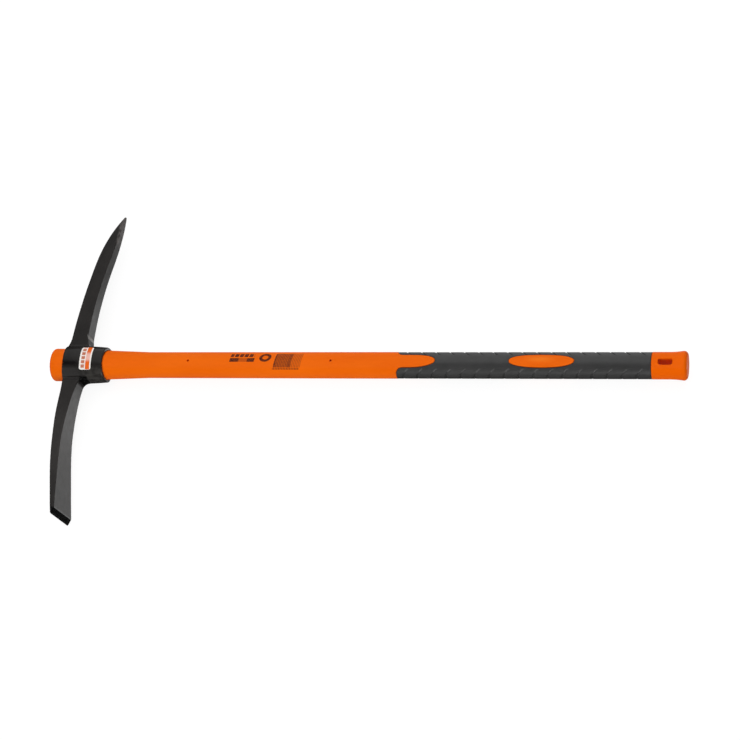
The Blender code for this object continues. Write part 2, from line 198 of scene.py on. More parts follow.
# Sticker on the eye
LABEL_START = 0.0269
LABEL_WIDTH = 0.0178
LABEL_LOW_ANGLE = -30.0
LABEL_HIGH_ANGLE = 44.5
LABEL_THICKNESS = 0.0003
LABEL_CORNER = 0.0034
LABEL_CORNER_SHARE = 0.98       # keeps the film's two ends from shrinking to a point
# Blocks on the film give first and last place from its edge, then lowest and highest up the arms' line
LABEL_FIELD = (0.0086, 0.0148, -0.0145, 0.0200)
LABEL_FIELD_PALE = (-0.0020, 0.0095, 0.003)
LABEL_FIELD_PALENESS = 0.5
LABEL_MARKS = (0.0020, 0.0072, -0.0140, 0.0200)
LABEL_MARK_PITCH = 0.0062
LABEL_MARK_SHARE = 0.72
LABEL_MARK_INK = (0.12, 0.90)

# Fineness
SIDES = 96
HOLE_SIDES = 24
PAD_STEPS = 40
ROUND_STEPS = 8
RIM_STEPS = 3
OUTLINE_STEPS = 16
EYE_STEPS = 24
EYE_RIM_STEPS = 4
PICK_STEPS = (24, 40)           # along the shank and along the point
CHISEL_STEPS = (12, 30, 10)     # along the fillet, the blade and the edge's corners
LABEL_STEPS = (24, 12)          # round the eye and along it
SOFT_ANGLE = 35                 # edges that turn by less, in degrees, are shaded smooth
GRIP_SOFT_ANGLE = 16
FORGING_CELL = 0.00086
ROOT_BLEND = 0.004              # how far from a root's crease the forging is rounded
ROOT_PASSES = 24
REACH_OUT = 0.060               # how far a cutter reaches past the piece it cuts
CUT_MERGE = 0.000005            # corners closer than this after a cut are one corner

# Finishes: colours are given from the darker to the lighter where a surface is mottled
HANDLE_ORANGE = ((0.83, 0.124, 0.0014), (0.88, 0.146, 0.0028))
CAP_ORANGE = ((0.83, 0.118, 0.0008), (0.89, 0.134, 0.0018))
# Painted highlight on the crown of each pad: a paler orange for the gloss that it catches
PAD_HIGHLIGHT_ORANGE = (0.90, 0.195, 0.012)
PAD_HIGHLIGHT_X = (WINDOW_X - 0.016, WINDOW_X + 0.012, 0.014)
PAD_HIGHLIGHT_Y = (FACE_RAISE - 0.0010, FACE_RAISE + 0.0055, 0.0035)
PRINT_INK = (0.034, 0.012, 0.010)
RUBBER_GREY = ((0.026, 0.026, 0.026), (0.033, 0.033, 0.033))
FILM_WHITE = ((0.86, 0.81, 0.77), (0.93, 0.90, 0.87))
FILM_ORANGE = (0.80, 0.125, 0.006)
FILM_MARK = (0.50, 0.105, 0.028)
ROD_STRAW = ((0.42, 0.38, 0.24), (0.70, 0.66, 0.48))
FORGING_BLACK = ((0.0100, 0.0092, 0.0088), (0.0185, 0.0166, 0.0156))
# Painted shade: the chisel's bevel is painted near black for the dark reflection it shows
BEVEL_SHADE_BLACK = (0.003, 0.003, 0.003)
BEVEL_RUN_OUT = 0.0004          # how far the bevel's painted shade runs past the bevel
# Places on the forging painted lighter or darker, some of them painted light and shade: colour, how far
# the place leans for each unit up the arm, its span along the handle, its span up the arms (each with how
# soft the ends are), and how much it is broken up
FORGING_PLACES = (
    # Blade of the chisel, painted lighter
    ((0.0240, 0.0220, 0.0206), 0.0, (-1.0, 1.0, 0.001), (-0.170, -0.070, 0.020), 0.4),
    # Inner side of the pick's tip, painted lighter
    ((0.085, 0.076, 0.072), 0.0, (0.0702, 1.0, 0.0014), (0.160, 1.0, 0.010), 1.0),
    # Painted light: the back of the eye on the chisel's side, lighter where the low light from the near
    # side falls
    ((0.038, 0.036, 0.033), 0.0, (0.054, 0.090, 0.005), (-0.040, -0.010, 0.003), 1.0),
    # Painted shade: a dark band across the front of the eye, for the dark reflection there
    ((0.004, 0.003, 0.0035), 0.0, (-1.0, 0.043, 0.005), (-0.0075, -0.0020, 0.0035), 0.0),
    # Painted highlight on the root of the pick arm, where its fillet catches the light at a grazing angle
    ((0.50, 0.49, 0.47), 0.35, (0.0628, 1.0, 0.0004), (0.0290, 0.0390, 0.0045), 0.5),
)
# Painted shade in the hollow between the eye and the chisel's inner side, which is painted near black
HOLLOW_SHADE = (0.0015, 0.0015, 0.0015)
HOLLOW_X = (0.0455, 0.0570, 0.0010)
HOLLOW_Y = (-0.040, -0.0225, 0.0015)
HOLLOW_POLISH = 0.28
EYE_Y = (-0.027, 0.027, 0.003)
EYE_POLISH = 0.20
POINT_Y = (0.095, 1.0, 0.04)
POINT_DULLNESS = 0.14

# Camera
CAMERA_PLACE = (1.2145315, -0.9635437, 2.5850001)
CAMERA_RIGHT = (0.96506848, 0.09258284, -0.24509436)
CAMERA_UP = (-0.00169327, 0.93766716, 0.34753048)
CAMERA_BACK = (0.26199229, -0.3349757, 0.90506979)
CAMERA_SENSOR = 36.0            # this and the lens are in millimetres
CAMERA_LENS = 101.626
CAMERA_FAR = 50.0

# Studio
STUDIO_MIDDLE = (0.4, 0, 0)
FLOOR_SIZE = 16
FLOOR_DROP = 0.0002
BOUNCE_DROP = 0.01
SURROUND_RADIUS = 20
STUDIO_GREY = ((0.14, 0.14, 0.14), (0.16, 0.16, 0.16))
FLOOR_GLOW = 0.90
BOUNCE_GLOW = 0.72              # light that the floor throws back on the undersides
SURROUND_GLOW = 1.0
SKY_BASE = 0.02
# The gloss comes from these: brightness, then where each lies, where it starts and where it is full
SKY_LIGHTS = (
    (0.71, (((0.20, 0.75, 0.63), 0.64, 0.75),)),
    (0.55, (((-0.22, 0.92, -0.33), 0.80, 0.95), ((1, 0, 0), -0.34, -0.26))),
    (3.10, (((0.75, -0.03, -0.66), 0.75, 0.97), ((0, 1, 0), -0.04, 0.16), ((0, 1, 0), 0.54, 0.34))),
    (1.00, (((-0.10, 0.50, -0.86), 0.93, 0.98), ((1, 0, 0), -0.20, -0.05))),
    (0.90, (((-0.65, -0.62, 0.44), 0.74, 0.84), ((-1, 0, 0), 0.29, 0.37))),
    (0.20, (((-0.24, -0.88, -0.41), 0.92, 0.99),)),
    (3.50, (((0.29, -0.90, 0.34), 0.93, 0.98),)),
    (0.80, (((-0.86, 0.35, -0.37), 0.93, 0.98),)),
)
# Panels that light the colours: name, place, width, height and power
PANELS = (
    ("overhead_panel", (0.4, 0.3, 2.9), 4.0, 4.0, 94),
    ("near_panel", (0.4, -2.6, 1.0), 3.0, 1.6, 41.5),
    ("far_panel", (0.4, 2.6, 1.2), 3.0, 1.6, 29),
)

SEAM_X = HANDLE_LENGTH - CAP_LENGTH
GRIP_X = SEAM_X - GRIP_LENGTH
EYE_BACK_X = EYE_X + EYE_LENGTH


# Modelling steps
def choose(piece):
    """Make a piece the only one selected."""
    bpy.ops.object.select_all(action="DESELECT")
    piece.select_set(True)
    bpy.context.view_layer.objects.active = piece


def added(name):
    """Name the primitive that was just added and settle its place into its mesh."""
    piece = bpy.context.object
    piece.name = name
    piece.data.name = name
    bpy.ops.object.transform_apply()
    return piece


def close_up(closed):
    """Join the two open rings into a tube, or close each with a face, and turn the faces outwards."""
    bpy.ops.mesh.select_all(action="DESELECT")
    bpy.ops.mesh.select_non_manifold()
    if closed:
        bpy.ops.mesh.bridge_edge_loops()
    else:
        bpy.ops.mesh.fill_holes(sides=0)
    bpy.ops.mesh.select_all(action="SELECT")
    bpy.ops.mesh.normals_make_consistent(inside=False)
    bpy.ops.object.mode_set(mode="OBJECT")


def turned(name, profile, closed=False):
    """Oval piece drawn out along X ring by ring; the profile lists x, half height, half thickness."""
    x, height, thickness = profile[0]
    bpy.ops.object.select_all(action="DESELECT")
    bpy.ops.mesh.primitive_circle_add(vertices=SIDES, radius=1, location=(x, 0, 0),
                                      rotation=(0, math.pi / 2, 0))
    piece = added(name)
    bpy.ops.object.mode_set(mode="EDIT")
    bpy.ops.transform.resize(value=(1, height, thickness), center_override=(x, 0, 0))
    for far, tall, thick in profile[1:]:
        bpy.ops.mesh.extrude_region_move(TRANSFORM_OT_translate={"value": (far - x, 0, 0)})
        bpy.ops.transform.resize(value=(1, tall / height, thick / thickness), center_override=(far, 0, 0))
        x, height, thickness = far, tall, thick
    close_up(closed)
    return piece


def lofted(name, rings):
    """Solid drawn out ring by ring, with each new ring's corners set to their own places."""
    bpy.ops.object.select_all(action="DESELECT")
    bpy.ops.mesh.primitive_circle_add(vertices=len(rings[0]), radius=0.01)
    piece = added(name)
    bpy.ops.object.mode_set(mode="EDIT")
    bpy.ops.mesh.select_all(action="SELECT")
    order = None
    for ring in rings:
        if order is not None:
            bpy.ops.mesh.extrude_region_move()
        mesh = bmesh.from_edit_mesh(piece.data)
        mesh.verts.ensure_lookup_table()
        chosen = [vert for vert in mesh.verts if vert.select]
        if order is None:
            order = sorted(range(len(chosen)), key=lambda i: math.atan2(chosen[i].co.y, chosen[i].co.x))
        else:
            chosen.sort(key=lambda vert: vert.index)
        for place, i in zip(ring, order):
            chosen[i].co = place
        bmesh.update_edit_mesh(piece.data)
    close_up(False)
    return piece


def apply_step(piece, kind, **settings):
    """Put a modifier on a piece and apply it."""
    choose(piece)
    step = piece.modifiers.new(kind.lower(), kind)
    for key, value in settings.items():
        setattr(step, key, value)
    bpy.ops.object.modifier_apply(modifier=step.name)


def cut(piece, cutter, operation="DIFFERENCE"):
    apply_step(piece, "BOOLEAN", operation=operation, solver="EXACT", object=cutter)
    bpy.data.objects.remove(cutter, do_unlink=True)


def smooth(piece, degrees=SOFT_ANGLE):
    """Merge the corners that cuts left on top of each other, and shade the soft edges smooth."""
    choose(piece)
    bpy.ops.object.mode_set(mode="EDIT")
    bpy.ops.mesh.select_all(action="SELECT")
    bpy.ops.mesh.remove_doubles(threshold=CUT_MERGE)
    bpy.ops.mesh.dissolve_degenerate(threshold=CUT_MERGE)
    bpy.ops.object.mode_set(mode="OBJECT")
    bpy.ops.object.shade_smooth_by_angle(angle=math.radians(degrees))


def prism(name, outline):
    """Cutter drawn right through the handle along Z."""
    return lofted(name, [[(x, y, z) for x, y in outline] for z in (-REACH_OUT, REACH_OUT)])


# Outlines and sections
def arc(centre_x, centre_y, radius, start, end, steps):
    points = []
    for i in range(steps + 1):
        angle = math.radians(start + (end - start) * i / steps)
        points.append((centre_x + radius * math.cos(angle), centre_y + radius * math.sin(angle)))
    return points


def superellipse_quarter(half_length, half_height, power=OUTLINE_POWER):
    points = []
    for i in range(OUTLINE_STEPS + 1):
        angle = math.pi / 2 * i / OUTLINE_STEPS
        points.append((half_length * abs(math.cos(angle)) ** (2 / power),
                       half_height * abs(math.sin(angle)) ** (2 / power)))
    return points


def fillet(distance, radius):
    """How far a rounded corner has come in, or a fillet has gone out, at a distance from its end."""
    if distance >= radius:
        return 0.0
    down = radius - max(0.0, distance)
    return radius - math.sqrt(radius ** 2 - down ** 2)


def flare(away, size, length):
    """How much an arm spreads at a distance from its root."""
    return size * max(0.0, 1 - away / length) ** 2


def eased(table, reach):
    """Read a table of reach and size, with soft steps between its rows."""
    for (low, first), (high, last) in zip(table, table[1:]):
        if reach < high:
            share = min(1.0, max(0.0, (reach - low) / (high - low)))
            return first + (last - first) * share * share * (3 - 2 * share)
    return table[-1][1]


def spread_out(first, last, steps):
    return [first + (last - first) * i / steps for i in range(steps + 1)]


def body_section(x):
    """Half height and half thickness of the moulding, which grows towards the head end."""
    share = min(1.0, max(0.0, (FLARE_LENGTH - x) / (FLARE_LENGTH - FLARE_STRAIGHT)))
    return (BODY_HALF_HEIGHT + (FLARE_HALF_HEIGHT - BODY_HALF_HEIGHT) * share,
            BODY_HALF_THICKNESS + (FLARE_HALF_THICKNESS - BODY_HALF_THICKNESS) * share)


def grown(x, section, extra):
    return x, section[0] + extra, section[1] + extra


def grip_section(depth):
    sink = PAD_PROUD + depth
    return BODY_HALF_HEIGHT - sink, BODY_HALF_THICKNESS - sink


def eye_section(x):
    share = (x - EYE_X) / EYE_LENGTH
    ends = EYE_WALL_FRONT + (EYE_WALL_BACK - EYE_WALL_FRONT) * share
    wall = ends + (EYE_WALL_MIDDLE - (EYE_WALL_FRONT + EYE_WALL_BACK) / 2) * 4 * share * (1 - share)
    height, thickness = body_section(x)
    return height + GAP + wall, thickness + GAP + wall


def eye_point(x, degrees, lift=0.0):
    """Point on the eye's skin, counted from the near face towards the pick arm."""
    height, thickness = eye_section(x)
    up = math.sin(math.radians(degrees))
    out = math.cos(math.radians(degrees))
    y = math.copysign((height + lift) * abs(up) ** (2 / EYE_POWER), up)
    z = math.copysign((thickness + lift) * abs(out) ** (2 / EYE_POWER), out)
    back = max(0.0, (x - EYE_X) / EYE_LENGTH)
    forward = EYE_FRONT_WAVE * (min(0.0, up) ** 2 * (1 - back)) ** 2
    return x - EYE_BACK_WAVE * (out * back) ** 2 - forward, y, z


def window_outline(inset):
    quarter = superellipse_quarter(WINDOW_HALF_LENGTH - inset, WINDOW_HALF_HEIGHT - inset)
    upper = quarter + [(-x, y) for x, y in reversed(quarter[:-1])]
    lower = [(-x, -y) for x, y in upper[1:-1]]
    return [(WINDOW_X + x, FACE_RAISE + y) for x, y in upper + lower]


def tongue_outline(inset):
    """The opening at the grip's front: a mouth with rounded corners that narrows to a tongue."""
    mouth = TONGUE_MOUTH_RADIUS + inset
    half = TONGUE_HALF_HEIGHT - inset
    taper_x = GRIP_X + TONGUE_LENGTH - TONGUE_TAPER
    corner = arc(GRIP_X - GAP + TONGUE_MOUTH_RADIUS, half + mouth, mouth, 180, 270, ROUND_STEPS)
    mouth_end = list(reversed(corner)) + [(GRIP_X - REACH_OUT, half + mouth)]
    tip = superellipse_quarter(TONGUE_TAPER - inset, half)
    upper = [(taper_x + x, y) for x, y in tip] + mouth_end
    tip = superellipse_quarter(TONGUE_LOWER_TAPER - inset, half, TONGUE_LOWER_POWER)
    taper_x = GRIP_X + TONGUE_LENGTH - TONGUE_LOWER_TAPER
    lower = [(taper_x + x, -y) for x, y in tip[1:]] + [(x, -y) for x, y in mouth_end]
    return [(x, FACE_RAISE + y) for x, y in upper + list(reversed(lower))]


def slot_outline(wider=0.0):
    """The hanging slot, with tighter corners on the pick arm's side."""
    x = SLOT_HALF_LENGTH + wider
    y = SLOT_HALF_HEIGHT + wider
    small = SLOT_UPPER_RADIUS + wider
    large = SLOT_LOWER_RADIUS + wider
    points = arc(x - small, y - small, small, 0, 90, ROUND_STEPS)
    points += arc(small - x, y - small, small, 90, 180, ROUND_STEPS)
    points += arc(large - x, large - y, large, 180, 270, ROUND_STEPS)
    points += arc(x - large, large - y, large, 270, 360, ROUND_STEPS)
    return [(SLOT_X + px, py) for px, py in points]


# Handle
def sleeve(name, gap, outer_extra):
    """Tube in the grip's place with its openings; with a gap it is the cutter for the grip's room."""
    start = GRIP_X - gap
    end = SEAM_X - GAP + (REACH_OUT if gap else 0.0)
    outer = grown(start, grip_section(0.0), outer_extra)
    inner = grown(start, grip_section(GRIP_THICKNESS), -gap)
    profile = [outer, (end, *outer[1:]), (end, *inner[1:]), inner]
    if not gap:
        edge = GRIP_EDGE_ROUND
        rings = spread_out(start, end - edge, 2 * GROOVE_COUNT)
        profile[:2] = [(x, *outer[1:]) for x in rings] + [(end, outer[1] - edge, outer[2] - edge)]
    made = turned(name, profile, closed=True)
    inset = gap or -OPENING_EASE
    cut(made, prism("window", window_outline(inset)))
    cut(made, prism("tongue", tongue_outline(inset)))
    return made


def make_body():
    """Orange moulding with its crowned pads, the room for the grip, the rod's bore and the small holes."""
    height, thickness = body_section(0.0)
    edge = FLARE_EDGE_RADIUS
    profile = []
    for x, lift in arc(edge, -edge, edge, 180, 90, ROUND_STEPS):
        profile.append((x, height + lift, thickness + lift))
    places = spread_out(WINDOW_X - WINDOW_HALF_LENGTH, WINDOW_X + WINDOW_HALF_LENGTH, PAD_STEPS)
    for x in [FLARE_STRAIGHT, EYE_BACK_X, FLARE_LENGTH] + places + [SEAM_X - GAP]:
        profile.append((x, *body_section(x)))
    body = turned("handle_moulding", profile)
    for vert in body.data.vertices:
        along = (vert.co.x - WINDOW_X) / WINDOW_HALF_LENGTH
        across = (vert.co.y - FACE_RAISE) / WINDOW_HALF_HEIGHT
        crown = max(0.0, 1 - along ** 2) * max(0.0, 1 - across ** 2)
        vert.co.z += math.copysign(PAD_CROWN * crown, vert.co.z)
    cut(body, sleeve("grip_room", GAP, REACH_OUT))
    bore = (CORE_HALF_HEIGHT + GAP, CORE_HALF_THICKNESS + GAP)
    cut(body, turned("core_bore", [(CORE_COVER - GAP, *bore), (SEAM_X + REACH_OUT, *bore)]))
    for place in HOLE_PLACES:
        bpy.ops.object.select_all(action="DESELECT")
        bpy.ops.mesh.primitive_cylinder_add(vertices=HOLE_SIDES, radius=HOLE_RADIUS, depth=2 * REACH_OUT,
                                            location=(place, FACE_RAISE, 0))
        cut(body, added("locating_hole"))
    smooth(body)
    return body


def groove_bar(x, side, face):
    """One slanted V bar that grazes a flank of the grip; the wall that faces the butt is the flatter."""
    height, thickness = grip_section(0.0)
    first = math.asin(GROOVE_BAND / height)
    rings = []
    run = 0.0
    last = None
    for angle in spread_out(first, math.pi / 2, ROUND_STEPS):
        y = height * math.sin(angle)
        z = thickness * math.cos(angle)
        if last:
            run += math.hypot(y - last[0], z - last[1])
        last = (y, z)
        slope = math.atan2(z / thickness ** 2, y / height ** 2)
        out_y = math.cos(slope)
        out_z = math.sin(slope)
        share = (angle - first) / (math.pi / 2 - first)
        centre = x - GROOVE_SLANT * run * (1 - GROOVE_BEND * share)
        ring = []
        deepening = GROOVE_END_DEPTH_SHARE + (1 - GROOVE_END_DEPTH_SHARE) * share
        low = -GROOVE_DEPTH * deepening * min(1.0, GROOVE_TIP_SHARE + GROOVE_TIP_RATE * share)
        for step, lift in ((-2 * GROOVE_BUTT_WALL, -low), (0, low), (2 * GROOVE_HEAD_WALL, -low)):
            ring.append((centre + step, side * (y + out_y * lift), face * (z + out_z * lift)))
        rings.append(ring)
    return lofted("groove", rings)


def make_grip():
    """Rubber sleeve with slanted grooves cut across both flanks."""
    grip = sleeve("rubber_grip", 0.0, 0.0)
    bars = []
    for i in range(GROOVE_COUNT):
        upper_x = GRIP_X + GROOVE_FIRST + GROOVE_PITCH * i
        for side, x in ((1, upper_x), (-1, upper_x - GROOVE_STAGGER)):
            for face in (1, -1):
                bars.append(groove_bar(x, side, face))
    choose(bars[0])
    for bar in bars:
        bar.select_set(True)
    bpy.ops.object.join()
    cut(grip, bars[0])
    smooth(grip, GRIP_SOFT_ANGLE)
    return grip


def make_cap():
    """Cap with its plug, swollen towards a domed end, and the slot that it hangs by."""
    plain = (BODY_HALF_HEIGHT, BODY_HALF_THICKNESS)
    plug = (CORE_HALF_HEIGHT, CORE_HALF_THICKNESS)
    edge = CAP_EDGE_RADIUS
    profile = [(SEAM_X - PLUG_LENGTH, *plug), (SEAM_X, *plug)]
    for x, lift in arc(SEAM_X + CAP_RIM_ROUND, -CAP_RIM_ROUND, CAP_RIM_ROUND, 180, 90, RIM_STEPS):
        profile.append(grown(x, plain, lift))
    start = HANDLE_LENGTH - CAP_CROWN - edge - CAP_SWELL_LENGTH
    for share in spread_out(0, 1, ROUND_STEPS):
        profile.append(grown(start + CAP_SWELL_LENGTH * share, plain, CAP_SWELL * share ** 2))
    for x, lift in arc(HANDLE_LENGTH - CAP_CROWN - edge, CAP_SWELL - edge, edge, 90, 0, ROUND_STEPS)[1:]:
        profile.append(grown(x, plain, lift))
    rim = profile[-1][1:]
    for share in spread_out(1, CAP_CROWN_INNERMOST, ROUND_STEPS)[1:]:
        profile.append((HANDLE_LENGTH - CAP_CROWN * share ** 2, rim[0] * share, rim[1] * share))
    cap = turned("butt_cap", profile)
    depths = [plain[1] - SLOT_ROUND * i / ROUND_STEPS for i in range(ROUND_STEPS + 1)]
    depths = [-REACH_OUT] + [-z for z in depths] + list(reversed(depths)) + [REACH_OUT]
    rings = []
    for z in depths:
        outline = slot_outline(fillet(plain[1] - abs(z), SLOT_ROUND))
        rings.append([(x, y, z) for x, y in outline])
    cut(cap, lofted("hang_slot", rings))
    smooth(cap)
    return cap


# Head
def root_reach(root_width):
    """How far from the axis an arm's side faces leave the eye."""
    height, thickness = eye_section(ARM_X)
    return height * (1 - (root_width / 2 / thickness) ** EYE_POWER) ** (1 / EYE_POWER)


def pick_sizes(reach):
    """Front, back and half width of the pick arm at a reach from the handle's axis."""
    root = root_reach(PICK_ROOT_WIDTH)
    away = max(0.0, reach - root)
    middle = PICK_X + reach ** 2 / (2 * PICK_CURVE_RADIUS)
    neck = max(0.0, 1 - away / PICK_NECK_LENGTH)
    depth = PICK_SHANK_DEPTH + (PICK_ROOT_DEPTH - PICK_SHANK_DEPTH) * neck ** 2
    share = min(1.0, away / (PICK_REACH - PICK_POINT_LENGTH - root))
    width = PICK_ROOT_WIDTH + (PICK_SHANK_WIDTH - PICK_ROOT_WIDTH) * share
    left = max(0.0, min(1.0, (PICK_REACH - reach) / PICK_POINT_LENGTH))
    sharpening = 1 - (1 - PICK_TIP_SHARE) * (1 - left) ** PICK_POINT_POWER
    depth *= sharpening
    front = middle - depth / 2 - flare(away, PICK_FLARE, PICK_FLARE_LENGTH)
    back = middle + depth / 2 + flare(away, PICK_BACK_FLARE, PICK_BACK_FLARE_LENGTH)
    return front, back, width * sharpening / 2


def chisel_middle(reach):
    straight_from = CHISEL_REACH - CHISEL_STRAIGHT_LENGTH
    bent = min(reach, straight_from) - CHISEL_BOW_REACH
    middle = ARM_X - CHISEL_BOW + bent ** 2 / (2 * CHISEL_CURVE_RADIUS)
    return middle + max(0.0, reach - straight_from) * bent / CHISEL_CURVE_RADIUS


def chisel_sizes(reach):
    root = root_reach(CHISEL_ROOT_WIDTH)
    away = max(0.0, reach - root)
    bevel_reach = CHISEL_REACH - CHISEL_BEVEL_LENGTH
    depth = CHISEL_ROOT_DEPTH + (CHISEL_BEVEL_DEPTH - CHISEL_ROOT_DEPTH) * away / (bevel_reach - root)
    spread = min(1.0, away / (CHISEL_REACH - CHISEL_PARALLEL_LENGTH - root))
    width = CHISEL_ROOT_WIDTH + (CHISEL_EDGE_WIDTH - CHISEL_ROOT_WIDTH) * spread
    middle = chisel_middle(reach)
    spread_root = flare(away, CHISEL_FLARE, CHISEL_FLARE_LENGTH)
    front = middle - depth / 2 - spread_root + eased(CHISEL_FRONT_EASE, reach)
    back = middle + depth / 2 + spread_root + fillet(away, CHISEL_FILLET) + eased(CHISEL_BACK_EASE, reach)
    bevel = max(0.0, reach - bevel_reach) / CHISEL_BEVEL_LENGTH
    back -= (back - front - CHISEL_EDGE_DEPTH) * bevel
    return front, back, width / 2 - fillet(CHISEL_REACH - reach, CHISEL_CORNER_RADIUS)


def arm_ring(reach, direction, front, back, half_width):
    corner = min(ARM_CHAMFER, CHAMFER_DEPTH_SHARE * (back - front), CHAMFER_WIDTH_SHARE * half_width)
    y = direction * reach
    return [
        (front, y, corner - half_width), (front, y, half_width - corner),
        (front + corner, y, half_width), (back - corner, y, half_width),
        (back, y, half_width - corner), (back, y, corner - half_width),
        (back - corner, y, -half_width), (front + corner, y, -half_width),
    ]


def make_arm(name, sizes_at, direction, places):
    places.append(body_section(ARM_X)[0] / 2)
    return lofted(name, [arm_ring(place, direction, *sizes_at(place)) for place in sorted(set(places))])


def root_share(place):
    """1 where an arm's faces meet the eye, falling to 0 at the blend's reach."""
    x, y, z = place
    if not EYE_X - ROOT_BLEND < x < EYE_BACK_X + ROOT_BLEND:
        return 0.0
    height, thickness = eye_section(min(max(x, EYE_X), EYE_BACK_X))
    radius = (abs(y / height) ** EYE_POWER + abs(z / thickness) ** EYE_POWER) ** (1 / EYE_POWER)
    from_eye = (radius - 1) * (height + thickness) / 2
    front, back, half_width = (pick_sizes if y > 0 else chisel_sizes)(abs(y))
    aside = max(front - x, x - back, 0.0)
    over = max(abs(z) - half_width, 0.0)
    from_arm = math.hypot(aside, over)
    share = 1 - max(from_eye, from_arm, 0.0) / ROOT_BLEND
    if from_eye < -EYE_WALL_FRONT / 2:
        return 0.0
    return max(0.0, share)


def make_head():
    """Eye and both arms as one forging, with its creases rounded where the arms meet the eye."""
    rim = EYE_RIM_ROUND
    edge = [(rim - rim * math.sin(angle), rim * math.cos(angle) - rim)
            for angle in spread_out(math.pi / 2, 0, EYE_RIM_STEPS)]
    stations = [(EYE_X + inward, lift) for inward, lift in edge]
    stations += [(x, 0.0) for x in spread_out(EYE_X + rim, EYE_BACK_X - rim, EYE_STEPS)[1:-1]]
    stations += [(EYE_BACK_X - inward, lift) for inward, lift in reversed(edge)]
    turns = [360 * i / EYE_SIDES for i in range(EYE_SIDES)]
    head = lofted("forged_head", [[eye_point(x, turn, lift) for turn in turns] for x, lift in stations])
    root = root_reach(PICK_ROOT_WIDTH)
    point = PICK_REACH - PICK_POINT_LENGTH
    places = spread_out(root, point, PICK_STEPS[0]) + spread_out(point, PICK_REACH, PICK_STEPS[1])
    cut(head, make_arm("pick_arm", pick_sizes, 1, places), "UNION")
    root = root_reach(CHISEL_ROOT_WIDTH)
    shank = root + CHISEL_FILLET
    corner = CHISEL_REACH - CHISEL_CORNER_RADIUS
    bevel = CHISEL_REACH - CHISEL_BEVEL_LENGTH
    places = spread_out(root, shank, CHISEL_STEPS[0]) + spread_out(shank, bevel, CHISEL_STEPS[1])
    places += spread_out(corner, CHISEL_REACH, CHISEL_STEPS[2])
    cut(head, make_arm("chisel_arm", chisel_sizes, -1, places), "UNION")
    stations = (0.0, FLARE_STRAIGHT, EYE_BACK_X, FLARE_LENGTH)
    cut(head, turned("eye_bore", [grown(x, body_section(x), GAP) for x in stations]))
    choose(head)
    bpy.ops.object.duplicate()
    sharp = bpy.context.object
    apply_step(head, "REMESH", mode="VOXEL", voxel_size=FORGING_CELL)
    blend = head.vertex_groups.new(name="roots")
    for vert in head.data.vertices:
        share = root_share(vert.co)
        if share > 0:
            blend.add([vert.index], share, "REPLACE")
    apply_step(head, "SHRINKWRAP", target=sharp, wrap_method="NEAREST_SURFACEPOINT")
    before = [(vert.co.copy(), vert.normal.copy()) for vert in head.data.vertices]
    apply_step(head, "SMOOTH", factor=0.5, iterations=ROOT_PASSES, vertex_group="roots")
    for vert, (place, out) in zip(head.data.vertices, before):
        if (vert.co - place).dot(out) < 0:
            vert.co = place
    head.vertex_groups.clear()
    bpy.data.objects.remove(sharp, do_unlink=True)
    choose(head)
    bpy.ops.object.shade_smooth()
    return head


def make_label():
    """Film that follows the eye, with rounded corners."""
    start = EYE_X + LABEL_START
    radius = sum(eye_section(start)) / 2
    corner = math.degrees(LABEL_CORNER / radius)
    low = spread_out(LABEL_LOW_ANGLE, LABEL_LOW_ANGLE + corner, ROUND_STEPS)
    high = spread_out(LABEL_HIGH_ANGLE - corner, LABEL_HIGH_ANGLE, ROUND_STEPS)
    rings = []
    for degrees in low + spread_out(low[-1], high[0], LABEL_STEPS[0])[1:-1] + high:
        to_end = math.radians(min(degrees - LABEL_LOW_ANGLE, LABEL_HIGH_ANGLE - degrees)) * radius
        inset = fillet(to_end, LABEL_CORNER) * LABEL_CORNER_SHARE
        inner = spread_out(start + inset, start + LABEL_WIDTH - inset, LABEL_STEPS[1])
        ring = []
        for places, depth in ((inner, GAP / 2), (reversed(inner), GAP / 2 + LABEL_THICKNESS)):
            for x in places:
                ring.append(eye_point(x, degrees, depth))
        rings.append(ring)
    label = lofted("eye_sticker", rings)
    smooth(label)
    return label


